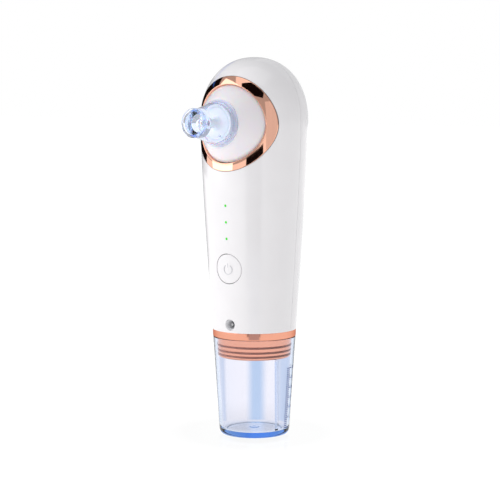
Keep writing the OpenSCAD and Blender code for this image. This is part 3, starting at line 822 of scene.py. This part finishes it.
def half_shell(name, front):
    """One half of the skin as a walled shell with eased edges."""
    mesh = whole_skin.data.copy()
    work = bmesh.new()
    work.from_mesh(mesh)
    edge_y = PARTING_Y - SEAM_GAP / 2 if front else PARTING_Y + SEAM_GAP / 2
    bmesh.ops.bisect_plane(work, geom=work.verts[:] + work.edges[:] + work.faces[:],
                           plane_co=(0, edge_y, 0), plane_no=(0, 1, 0),
                           clear_outer=front, clear_inner=not front)
    bmesh.ops.recalc_face_normals(work, faces=work.faces)
    top = max(work.faces, key=lambda f: f.calc_center_median().z)
    if top.normal.z < 0:
        bmesh.ops.reverse_faces(work, faces=work.faces)
    work.to_mesh(mesh)
    work.free()
    piece = link(name, mesh)
    wall = piece.modifiers.new("wall", "SOLIDIFY")
    wall.thickness = SHELL_WALL
    wall.offset = -1
    ease = piece.modifiers.new("ease", "BEVEL")
    ease.width = 0.22 * MM
    ease.segments = 3
    ease.limit_method = "ANGLE"
    ease.angle_limit = math.radians(50)
    return applied(piece)


front_housing = half_shell("front_housing", True)
rear_housing = half_shell("rear_housing", False)
bpy.data.objects.remove(whole_skin)
print("front", len(front_housing.data.polygons), "rear", len(rear_housing.data.polygons))

# %% Openings in the front shell
lens_hole = 0.66 * MM
cut(front_housing,
    rod(at_head, RING_R + 0.14 * MM, 4 * MM, 40 * MM, steps=192),
    rod(at_front(BUTTON_Z), BUTTON_R + 0.3 * MM, 10 * MM, 40 * MM),
    rod(at_front(SOCKET_Z), SOCKET_FACE_R, 10 * MM, 40 * MM),
    *[rod(at_front(z), lens_hole, 10 * MM, 40 * MM, steps=32) for z in LENS_Z])
for shell in (front_housing, rear_housing):
    smoothed(shell.data, 35)
settle(front_housing, "handle", "white_shell", white_gloss, "front_shell")
settle(rear_housing, "handle", "white_shell", white_gloss, "rear_shell")

# %% [markdown]
# ## The head
# A polished ring is let into the domed front and follows its curve, so it is a saddle
# and not a flat hoop. Each point of its outline is lifted off the housing's skin, which
# keeps the band even all the way round. Inside it sits the milky cover, which runs from
# a saddle-shaped rim to a flat round top, and on that top stands the clear nozzle.

# %% Head ring
ring_edge, bore_edge = RING_R / MM, RING_BORE_R / MM
band = softened([(ring_edge, -2.0, 0), (ring_edge, 0.02, 0.14), (ring_edge - 0.14, 0.17, 0.16),
                 (21.1, 0.1, 0), (bore_edge + 0.15, 0.02, 0.14), (bore_edge, -0.16, 0.14),
                 (bore_edge, -2.0, 0)], 5)
ROUND = 192
head_ring_piece = swept("polished_ring", [
    [skin_point(at_head, rho, phi, lift) for rho, lift in band] for phi in round_steps(ROUND)],
    sharp=50)
settle(head_ring_piece, "handle", "rose_gold", rose_gold, "head_ring")


# %% Strips that a polished edge mirrors
def mirrored_strip(name, spots, reach, half_width, colour):
    """A strip placed where the given (point, normal, sideways) spots mirror it."""
    points = []
    for spot, normal, sideways in spots:
        look = (spot - camera.location).normalized()
        away = look - 2 * look.dot(normal) * normal
        side_way = (sideways - sideways.dot(away) * away).normalized()
        points += [spot + reach * away - half_width * side_way,
                   spot + reach * away + half_width * side_way]
    faces = [(2 * k, 2 * k + 1, 2 * k + 3, 2 * k + 2) for k in range(len(spots) - 1)]
    strip_card = link(name, meshed(name, points, faces))
    for_mirrors_only(strip_card, colour)


BAND_MIDDLE_R, BAND_INNER_R = 21.1 * MM, 19 * MM


def ring_spots(first, last, count=12):
    """Places along the ring's band, between two angles in degrees."""
    spots = []
    for k in range(count + 1):
        phi = math.radians(first + (last - first) * k / count)
        spot, lifted = (skin_point(at_head, BAND_MIDDLE_R, phi, lift) for lift in (0, MM))
        inner = skin_point(at_head, BAND_INNER_R, phi, 0)
        spots.append((spot, (lifted - spot).normalized(), (spot - inner).normalized()))
    return spots


mirrored_strip("upper_left_strip", ring_spots(104, 168), 60 * MM, 18 * MM, NEAR_BLACK)
mirrored_strip("lower_left_strip", ring_spots(192, 236), 40 * MM, 11 * MM, NEAR_BLACK)
print("strips placed")

# %% Milky cover
RIM_RHO, RIM_DROP, TOP_RHO, TOP_D = 18.75 * MM, 1.7 * MM, 11.6 * MM, 30.0 * MM
SKIRT_D, NECK_RHO, COVER_WALL, INNER_TOP_RHO = 11.0 * MM, 6.5 * MM, 1.6 * MM, 10 * MM


def cover_outline(phi):
    """The cover's closed outline at one angle round the head's axis."""
    rim = skin_depth(at_head, RIM_RHO * math.cos(phi), RIM_RHO * math.sin(phi)) - RIM_DROP
    inner = RIM_RHO - COVER_WALL
    path = [(NECK_RHO, TOP_D), (TOP_RHO - 0.5 * MM, TOP_D), (TOP_RHO - 0.12 * MM, TOP_D - 0.1 * MM),
            (TOP_RHO + 0.06 * MM, TOP_D - 0.4 * MM)]
    for step in range(1, 13):
        t = step / 13
        swell = 0.75 * MM * math.sin(math.pi * t)
        path.append((TOP_RHO + (RIM_RHO - TOP_RHO) * t + swell * 0.8,
                     TOP_D + (rim - TOP_D) * t + swell * 0.35))
    path += [(RIM_RHO, rim + 0.25 * MM), (RIM_RHO + 0.02 * MM, rim - 0.2 * MM),
             (RIM_RHO - 0.1 * MM, rim - 0.55 * MM), (RIM_RHO - 0.1 * MM, SKIRT_D),
             (inner, SKIRT_D), (inner, rim - COVER_WALL)]
    for step in range(1, 7):
        t = step / 6
        path.append((inner + (INNER_TOP_RHO - inner) * t,
                     rim - COVER_WALL + (TOP_D - rim) * t))
    path.append((NECK_RHO, TOP_D - COVER_WALL))
    return [at_head(rho * math.cos(phi), rho * math.sin(phi), d) for rho, d in path]


milky_cover = swept("milky_cover", [cover_outline(phi) for phi in round_steps(ROUND)], sharp=40)
settle(milky_cover, "cover", "milky_cover", cover_milky, "head_cover")

# %% Nozzle seat and nozzle
seat_piece = turned("seat_and_stem", softened([
    (1.0, 8.6, 0), (2.2, 8.6, 0.2), (2.2, 25, 0), (6.45, 26.5, 0.3), (6.45, 30.02, 0),
    (8.4, 30.02, 0.2), (8.4, 31.8, 0.2), (7.5, 31.8, 0), (7.5, 33.4, 0.3), (3.2, 33.4, 0.5),
    (2.0, 34.6, 0.6), (1.75, 43.2, 0.2), (1.0, 43.2, 0)]), at_head, 96)
settle(seat_piece, "cover", "clear_nozzle", seal_clear, "nozzle_seat")
nozzle_piece = turned("clear_tip", softened([
    (8.95, 30.3, 0), (11.4, 30.3, 0.25), (11.4, 31.3, 0.5), (10.6, 32.4, 0.5),
    (10.15, 34, 0.8), (6.25, 49.3, 0.3), (6.95, 49.4, 0.15), (7.05, 49.7, 0.2),
    (7.05, 50.8, 0.3), (6.7, 51, 0.2), (5.6, 51, 0.3), (4.95, 49.5, 0.4), (3.6, 46.3, 0.3),
    (1.75, 46.2, 0.15), (1.75, 45, 0.15), (6, 45, 0.5), (8.95, 34.3, 0.6)], 5), at_head, 144)


def bleed_place(u, v, d):
    """An axis out through the side of the nozzle's cone."""
    turn_by = math.radians(-42)
    return at_head(math.cos(turn_by) * d - math.sin(turn_by) * u,
                   math.sin(turn_by) * d + math.cos(turn_by) * u, 38.5 * MM + v)


cut(nozzle_piece, rod(bleed_place, 0.5 * MM, 6 * MM, 12 * MM, steps=32))
finished(nozzle_piece.data)
settle(nozzle_piece, "tip", "clear_nozzle", nozzle_clear, "nozzle")
lets_light_in(nozzle_piece)


CONE_SLOPE = 0.255


def cone_spots(phi, count=6):
    """Places along the nozzle's cone at one angle round the head's axis."""
    middle = at_head(0, 0, 0)
    outwards = (at_head(math.cos(phi), math.sin(phi), 0) - middle).normalized()
    sideways = (at_head(-math.sin(phi), math.cos(phi), 0) - middle).normalized()
    onwards = (at_head(0, 0, 1) - middle).normalized()
    normal = (outwards + CONE_SLOPE * onwards).normalized()
    spots = []
    for k in range(count + 1):
        d = 35.5 + 11 * k / count
        reach = (10.15 - CONE_SLOPE * (d - 34)) * MM
        spots.append((at_head(0, 0, d * MM) + reach * outwards, normal, sideways))
    return spots


mirrored_strip("cone_strip", cone_spots(math.radians(84)), 45 * MM, 13 * MM,
               (0.02, 0.09, 0.42))

# %% [markdown]
# ## The controls
# The button's face is part of the housing's curve, set in a groove as wide as a hair. Its
# mark is the usual open ring and stroke, made of thin strips that lie on that curve.


# %% Button
button_axis = at_front(BUTTON_Z)
cap_outline = softened([
    (0, -3.0, 0), (7.2, -3.0, 0), (7.2, -0.06, 0.28), (6.2, -0.05, 0), (0.01, -0.05, 0)], 4)
cap = swept("button_cap", [[skin_point(button_axis, rho, phi, lift, along_axis=True)
                            for rho, lift in cap_outline] for phi in round_steps(96)])
settle(cap, "button", "white_shell", white_gloss, "power_button")


def strip(name, place, points, width, low, high):
    """A thin raised strip along (u, v) points on the housing's skin."""
    corners, faces = [], [(3, 2, 1, 0)]
    for index, (u, v) in enumerate(points):
        before = points[max(index - 1, 0)]
        after = points[min(index + 1, len(points) - 1)]
        run = Vector((after[0] - before[0], after[1] - before[1])).normalized()
        across = Vector((-run.y, run.x)) * width / 2
        for side, height in ((-1, low), (1, low), (1, high), (-1, high)):
            a, b = u + side * across.x, v + side * across.y
            corners.append(place(a, b, skin_depth(place, a, b) + height))
    last = len(corners) - 4
    for ring in range(0, last, 4):
        for k in range(4):
            a, b = ring + k, ring + (k + 1) % 4
            faces.append((a, b, b + 4, a + 4))
    faces.append((last, last + 1, last + 2, last + 3))
    return link(name, finished(meshed(name, corners, faces), 40))


def joined(name, *parts):
    """One mesh from several."""
    work = bmesh.new()
    for part in parts:
        work.from_mesh(part.data)
        bpy.data.objects.remove(part)
    mesh = bpy.data.meshes.new(name)
    work.to_mesh(mesh)
    work.free()
    smoothed(mesh, 35)
    return link(name, mesh)


MARK_R, MARK_DROP, MARK_STROKE = 2.35 * MM, 0.3 * MM, 0.34 * MM
arc_points = [(MARK_R * math.sin(math.radians(a)), MARK_R * math.cos(math.radians(a)) - MARK_DROP)
              for a in range(32, 329, 8)]
stroke_points = [(0, (0.7 + 0.25 * k) * MM) for k in range(9)]
mark = joined("button_mark", *[
    strip(part, button_axis, points, MARK_STROKE, -0.12 * MM, -0.02 * MM)
    for part, points in (("arc", arc_points), ("stroke", stroke_points))])
settle(mark, "button", "white_shell", mark_grey)

# %% [markdown]
# ### Three small lenses
# The lenses are one shape, repeated up the front. A line of points is moved on to the
# housing's curve by the radius rule, and each point carries a copy of a little dome.

# %% Lenses
lens_tree, l_in, l_out = node_tree_of(
    "GeometryNodeTree", "lens_row",
    [("Count", "NodeSocketInt", 3), ("First Height", FLOAT, 0.1), ("Pitch", FLOAT, 0.01),
     ("Lens Radius", FLOAT, 0.0005)] + SHAPE_SIZES, [("Geometry", GEOMETRY)])
l_size = l_in.outputs
add, _, times, _ = arithmetic(lens_tree)
lens_line = add_node(lens_tree, "GeometryNodeMeshLine", Count=l_size["Count"])
order = lens_tree.nodes.new("GeometryNodeInputIndex").outputs[0]
lens_height = add(l_size["First Height"], times(order, l_size["Pitch"]))
lens_out_by = times(use_rule(lens_tree, lens_height, l_size), -1.0)
lens_spots = placed_by(lens_tree, lens_line.outputs["Mesh"], 0.0, lens_out_by, lens_height)
bead = add_node(lens_tree, "GeometryNodeMeshUVSphere", Segments=24, Rings=12,
                Radius=l_size["Lens Radius"])
flatten = add_node(lens_tree, "GeometryNodeTransform", Geometry=bead.outputs["Mesh"],
                   Scale=(1, 0.16, 1))
lens_copies = add_node(lens_tree, "GeometryNodeInstanceOnPoints", Points=lens_spots,
                       Instance=flatten.outputs[0])
close_tree(lens_tree, l_out, lens_copies.outputs[0], lens_lit)
lens_row = grown("lens_row", lens_tree, First_Height=LENS_Z[0], Pitch=LENS_Z[1] - LENS_Z[0],
                 Lens_Radius=0.62 * MM)
lens_row.data.shade_smooth()
settle(lens_row, "handle", "lens_green", lens_lit, "indicator_lenses")

# %% Charging socket
socket_axis = at_front(SOCKET_Z)
face_d = side_radius(SOCKET_Z) / MM - 0.5
# The dish and the sleeve are painted lighter, as painted light against the shade in the hole.
dish = turned("socket_dish", softened([
    (2.2, face_d - 2.6, 0), (2.77, face_d - 2.6, 0), (2.77, face_d - 0.02, 0.12),
    (2.45, face_d, 0.1), (2.2, face_d - 0.4, 0.15)]), socket_axis, 96)
settle(dish, "handle", "socket_grey", socket_grey, "charging_socket")
sleeve = turned("socket_sleeve", softened([
    (0.68, face_d - 7.8, 0), (2.18, face_d - 7.8, 0), (2.18, face_d - 0.9, 0.12),
    (2.05, face_d - 0.9, 0.05), (2.05, face_d - 7.0, 0.3), (0.68, face_d - 7.0, 0)]),
    socket_axis, 64)
settle(sleeve, "handle", "socket_grey", sleeve_painted_light)

# %% [markdown]
# ## Tank, plug and collar
# The tank is one clear moulding with a thick floor and a rounded foot. It is made as a
# solid with a real wall, because light bends at both of its faces, and that bending is
# what draws the dark rim at the foot. The small raised disc in the floor is left by the
# mould's gate.

# %% Tank
rim_r, rim_z, inside_z = TANK_RIM_R / MM, TANK_H / MM, TANK_FLOOR / MM
tank_corners = [
    (0, 0.25, 0), (13.4, 0.25, 0.3), (13.9, 0, 0.3), (TANK_FOOT_R / MM, 0, FOOT_ROUND / MM),
    (rim_r, rim_z, 0.25), (rim_r - TANK_WALL / MM, rim_z, 0.25),
    ((tank_radius(TANK_FLOOR) - TANK_WALL) / MM, inside_z, 1.6), (2.5, inside_z, 0.1),
    (2.3, 2.85, 0.15), (0.9, 2.85, 0.1), (0.8, 2.7, 0.1), (0, 2.7, 0)]
tank_piece = turned("clear_tank_cup", softened(tank_corners, 7), upright, 160)
settle(tank_piece, "tank", "clear_tank", tank_clear, "tank_cup")
lets_light_in(tank_piece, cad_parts["tank_divider"])

# %% Stepped plug with its pipe holes
SEALS = {"upper_seal": 45.2, "middle_seal": 42.7, "lower_seal": 40.6}
SEAL_HALF, GROOVE, PLUG_FOOT, PLUG_STEP, PLUG_TOP, PLUG_INSET = 0.45, 0.8, 39, 49.15, 53.5, 1.85


def plug_radius(z):
    """The plug's radius inside the tank's mouth, with both in millimetres."""
    return tank_radius(z * MM) / MM - PLUG_INSET


plug_low = plug_radius(PLUG_FOOT)
plug_corners = [(0, PLUG_FOOT, 0), (plug_low - 0.5, PLUG_FOOT, 0.2),
                (plug_low, PLUG_FOOT + 0.5, 0.2)]
for z in sorted(SEALS.values()):
    reach = plug_radius(z)
    plug_corners += [(reach, z - SEAL_HALF, 0.12), (reach - GROOVE, z - SEAL_HALF, 0.08),
                     (reach - GROOVE, z + SEAL_HALF, 0.08), (reach, z + SEAL_HALF, 0.12)]
neck_r = side_radius(HOUSING_FOOT) / MM - PLUG_INSET
plug_corners += [(plug_radius(PLUG_STEP), PLUG_STEP, 0.1), (neck_r, PLUG_STEP, 0.1),
                 (neck_r, PLUG_TOP, 0.2), (0, PLUG_TOP, 0)]
plug_piece = turned("stepped_plug", softened(plug_corners, 4), upright, 160)
PIPES_AT = [(14.2 * math.sin(math.radians(120)), -14.2 * math.cos(math.radians(120))),
            (-9, 5), (-3, 11)]
cut(plug_piece, *[rod(upright, 1.1 * MM, 38 * MM, 55 * MM, x * MM, y * MM, 32)
                  for x, y in PIPES_AT])
finished(plug_piece.data)
settle(plug_piece, "handle", "rose_gold", rose_satin, "tank_plug")

# %% Collar ring
collar_out = side_radius(HOUSING_FOOT) / MM - 0.05
collar = turned("collar_band", softened([
    (neck_r + 0.05, PLUG_STEP, 0), (collar_out - 0.35, PLUG_STEP, 0.2),
    (collar_out - 0.1, PLUG_STEP + 0.35, 0.2),
    (collar_out, HOUSING_FOOT / MM, 0.08), (neck_r + 0.05, HOUSING_FOOT / MM, 0)], 4),
    upright, 160)
# The collar takes the darker copy of the rose gold, which is painted shade.
settle(collar, "handle", "rose_gold", rose_gold_shaded, "collar_ring")

# %% Three seal rings, one turned outline each
for label, z in SEALS.items():
    low, high = z - SEAL_HALF, z + SEAL_HALF
    bore = tank_radius(z * MM) / MM - PLUG_INSET - GROOVE
    reach = tank_radius(low * MM) / MM - 1.56
    seal = turned(label + "_ring", softened([
        (bore, low, 0), (reach, low, 0.42), (reach, high, 0.42), (bore, high, 0)], 6),
        upright, 128)
    settle(seal, "handle", "seal_rubber", dark_rubber, label)

# %% [markdown]
# ### The printed scale
# The scale has a tick for every millimetre, and every fifth one is longer. A line of
# points carries a flat bar, the bars are made longer where the count divides by five, and
# the whole scale is then bent round the tank's cone.

# %% Scale ticks
scale_tree, t_in, t_out = node_tree_of(
    "GeometryNodeTree", "scale_ticks",
    [("Count", "NodeSocketInt", 31), ("First Height", FLOAT, 0.0), ("Pitch", FLOAT, 0.001),
     ("Turn", FLOAT, 0.0), ("Short", FLOAT, 0.001), ("Long", FLOAT, 0.002),
     ("Stroke", FLOAT, 0.0002), ("Lift", FLOAT, 0.00004), ("Foot Radius", FLOAT, 0.017),
     ("Slope", FLOAT, 0.06)], [("Geometry", GEOMETRY)])
t_size = t_in.outputs
add, less, times, over = arithmetic(scale_tree)
tick_line = add_node(scale_tree, "GeometryNodeMeshLine", Count=t_size["Count"])
tick_order = scale_tree.nodes.new("GeometryNodeInputIndex").outputs[0]
tick_rows = placed_by(scale_tree, tick_line.outputs["Mesh"], 0.0, 0.0,
                      add(t_size["First Height"], times(tick_order, t_size["Pitch"])))
fifth = reckon(scale_tree, "LESS_THAN", reckon(scale_tree, "MODULO", tick_order, 5.0), 0.5)
tick_length = add(t_size["Short"], times(fifth, less(t_size["Long"], t_size["Short"])))
bar = add_node(scale_tree, "GeometryNodeMeshCube", Size=(1, 1, 1), Vertices_X=5)
from_edge = add_node(scale_tree, "GeometryNodeTransform", Geometry=bar.outputs["Mesh"],
                     Translation=(0.5, 0, 0))
bar_size = add_node(scale_tree, "ShaderNodeCombineXYZ", X=tick_length, Y=t_size["Lift"],
                    Z=t_size["Stroke"])
ticks = add_node(scale_tree, "GeometryNodeInstanceOnPoints", Points=tick_rows,
                 Instance=from_edge.outputs[0], Scale=bar_size.outputs[0])
flat_ticks = add_node(scale_tree, "GeometryNodeRealizeInstances", Geometry=ticks.outputs[0])
spot = parts_of_position(scale_tree)
cone = add(t_size["Foot Radius"], times(spot[2], t_size["Slope"]))
reach = add(cone, spot[1])
round_by = add(t_size["Turn"], over(spot[0], cone))
cosine = reckon(scale_tree, "COSINE", round_by)
bent = placed_by(scale_tree, flat_ticks.outputs[0],
                 times(reach, reckon(scale_tree, "SINE", round_by)),
                 times(reach, times(cosine, -1.0)), spot[2])
close_tree(scale_tree, t_out, bent, scale_ink)
SCALE_TURN, SCALE_FOOT = math.radians(90), 4.0 * MM
INK_LIFT = 0.03 * MM
scale_ticks = grown("scale_ticks", scale_tree, First_Height=SCALE_FOOT, Pitch=MM,
                    Turn=SCALE_TURN, Short=3.0 * MM, Long=4.6 * MM, Stroke=0.45 * MM,
                    Foot_Radius=TANK_FOOT_R + INK_LIFT,
                    Slope=(TANK_RIM_R - TANK_FOOT_R) / TANK_H)
finished(scale_ticks.data, 40)
settle(scale_ticks, "tank", "clear_tank", scale_ink)


# %% Numbers beside the long ticks
def number_on_tank(text, z, size):
    """Plain digits, made a mesh and bent round the tank."""
    curve = bpy.data.curves.new("digits", "FONT")
    curve.body = text
    curve.size = size
    curve.extrude = 0.02 * MM
    curve.align_y = "CENTER"
    words = link("digits", curve)
    mesh = final_mesh(words)
    bpy.data.objects.remove(words)
    for vertex in mesh.vertices:
        along, up, out = vertex.co
        cone_r = tank_radius(z + up) + INK_LIFT
        angle = SCALE_TURN + (5.2 * MM + along) / cone_r
        vertex.co = ((cone_r + out) * math.sin(angle), -(cone_r + out) * math.cos(angle), z + up)
    return link("digits_" + text, finished(mesh, 40))


numbers = joined("scale_numbers", *[
    number_on_tank(str(n), SCALE_FOOT + n * MM, 2.1 * MM) for n in range(5, 31, 5)])
settle(numbers, "tank", "clear_tank", scale_ink)

# %% [markdown]
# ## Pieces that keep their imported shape
# The parts inside the handle are hidden by the white shells, and show only where a piece
# is drawn off or through the clear plastic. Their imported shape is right, so each one
# only gets a finish that suits what it is made of.

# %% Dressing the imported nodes
def dress(material, *names):
    for name in names:
        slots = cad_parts[name].data.materials
        slots.clear()
        slots.append(material)
    print(material.name, "on", ", ".join(names))


dress(divider_clear, "tank_divider")
dress(cover_milky, "head_bowl")
dress(seal_clear, "cover_seal", "nozzle_seal")
dress(black_rubber, "button_pad", "pump_diaphragm")
dress(plastic("frame_grey", (0.62, 0.63, 0.65), 0.4, 0.55), "chassis", "battery_strap")
dress(plastic("pump_cream", (0.80, 0.79, 0.74), 0.35, 0.5),
      "connecting_rod", "pump_housing", "valve_plate")
dress(plastic("chip_black", (0.03, 0.03, 0.032), 0.3, 0.45), "button_switch")
dress(plastic("wrap_blue", (0.10, 0.22, 0.46), 0.25, 0.4, wave=260.0), "battery")
dress(plastic("filter_felt", (0.88, 0.88, 0.86), 0.85, 0.95, grain=3600.0, relief=0.00004),
      "inline_filter")
dress(plastic("pipe_silicone", (0.84, 0.85, 0.87), 0.3, 0.45, Subsurface_Weight=0.4,
              Subsurface_Scale=0.002), "water_pipe", "waste_pipe", "air_pipe", "pump_pipe")
dress(plastic("magnet_dark", (0.09, 0.09, 0.095), 0.5, 0.65), "motor_magnets")
dress(plastic("led_die", (0.75, 0.85, 0.70), 0.2, 0.3), "indicator_leds")
dress(metal("brushed_steel", (0.62, 0.62, 0.63), 0.2, 0.35),
      "frame_screws", "motor_can", "motor_shaft", "eccentric")
dress(metal("dull_steel", (0.40, 0.40, 0.41), 0.35, 0.5), "socket_pin")
dress(metal("sintered_bronze", (0.66, 0.46, 0.26), 0.35, 0.5, lines=2600.0,
            stretch=(1, 1, 1)), "motor_bush")
dress(metal("copper_winding", (0.78, 0.36, 0.20), 0.22, 0.35, lines=3200.0,
            stretch=(0.05, 0.05, 1), relief=0.00002), "armature")

# %% A circuit board has straight copper tracks under its lacquer
LACQUER, TRACK = (0.03, 0.20, 0.09), (0.07, 0.33, 0.14)
board_green, board, board_shader, board_place = material_start(
    "board_green", LACQUER, Coat_Weight=0.4, Coat_Roughness=0.12)
tracks = add_node(board, "ShaderNodeTexBrick", Vector=board_place, Scale=420,
                  Mortar_Size=0.035).outputs["Fac"]
tinted(board, board_shader, tracks, LACQUER, TRACK)
worn(board, board_shader, board_place, 0.3, 0.45)
bump(board, board_shader, tracks, 0.00003, 0.4)
dress(board_green, "circuit_board")
